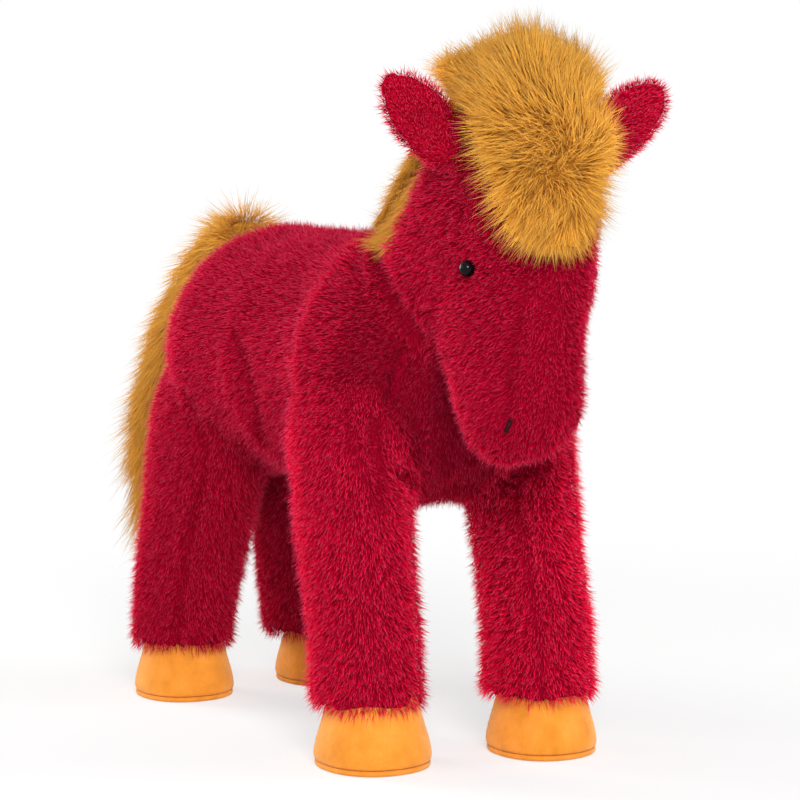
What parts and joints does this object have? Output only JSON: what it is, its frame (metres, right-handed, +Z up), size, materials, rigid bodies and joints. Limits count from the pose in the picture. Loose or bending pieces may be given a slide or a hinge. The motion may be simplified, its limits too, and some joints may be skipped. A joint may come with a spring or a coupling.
{
  "type": "plush horse",
  "caption": "Standing plush horse toy with a pile skin, velour hooves, folding ears, and a long-pile forelock, mane and tail",
  "frame": {"origin": "under the middle of the toy's bounding box, on the surface that it stands on", "axes": "+Z up, -Y the way that the horse faces, +X the horse's left side; metres"},
  "size_m": [0.1696, 0.4952, 0.3781],
  "materials": {
    "pile": "short crimson pile with a soft sheen",
    "wadding": "matte polyester wadding",
    "bead": "glossy black",
    "washer": "natural white",
    "thread": "dark embroidery thread",
    "velour": "golden orange velour",
    "calico": "plain woven cotton",
    "gold_pile": "long golden pile"
  },
  "bodies": {
    "body": {"torso_skin": "pile", "torso_filling": "wadding", "neck_skin": "pile", "neck_filling": "wadding", "head_skin": "pile", "head_filling": "wadding", "eye_right_bead": "bead", "eye_right_washer": "washer", "nostril_right_stitch": "thread", "eye_left_bead": "bead", "eye_left_washer": "washer", "nostril_left_stitch": "thread", "leg_front_right_skin": "pile", "leg_front_right_filling": "wadding", "hoof_front_right_upper": "velour", "hoof_front_right_sole": "velour", "hoof_front_right_pouch": "calico", "leg_front_left_skin": "pile", "leg_front_left_filling": "wadding", "hoof_front_left_upper": "velour", "hoof_front_left_sole": "velour", "hoof_front_left_pouch": "calico", "leg_hind_right_skin": "pile", "leg_hind_right_filling": "wadding", "hoof_hind_right_upper": "velour", "hoof_hind_right_sole": "velour", "hoof_hind_right_pouch": "calico", "leg_hind_left_skin": "pile", "leg_hind_left_filling": "wadding", "hoof_hind_left_upper": "velour", "hoof_hind_left_sole": "velour", "hoof_hind_left_pouch": "calico", "forelock": "gold_pile", "neck_mane": "gold_pile"},
    "ear_right": {"ear_right_back": "pile", "ear_right_front": "pile"},
    "ear_left": {"ear_left_back": "pile", "ear_left_front": "pile"},
    "tail": {"tail_plume": "gold_pile", "tail_core": "calico"}
  },
  "joints": [
    {"name": "ear_right_fold", "type": "hinge", "parent": "body", "child": "ear_right", "pos_m": [-0.03766, -0.16713, 0.31882], "axis": [0.7301, -0.1026, 0.6756], "range_deg": [-20, 20], "stiffness_Nm_per_rad": 0.05},
    {"name": "ear_left_fold", "type": "hinge", "parent": "body", "child": "ear_left", "pos_m": [0.04481, -0.17872, 0.31664], "axis": [0.6941, -0.0975, -0.7132], "range_deg": [-20, 20], "stiffness_Nm_per_rad": 0.05},
    {"name": "tail_lift", "type": "hinge", "parent": "body", "child": "tail", "pos_m": [-0.00315, 0.10391, 0.28258], "axis": [1, 0, 0], "range_deg": [-5, 40], "stiffness_Nm_per_rad": 1}
  ]
}
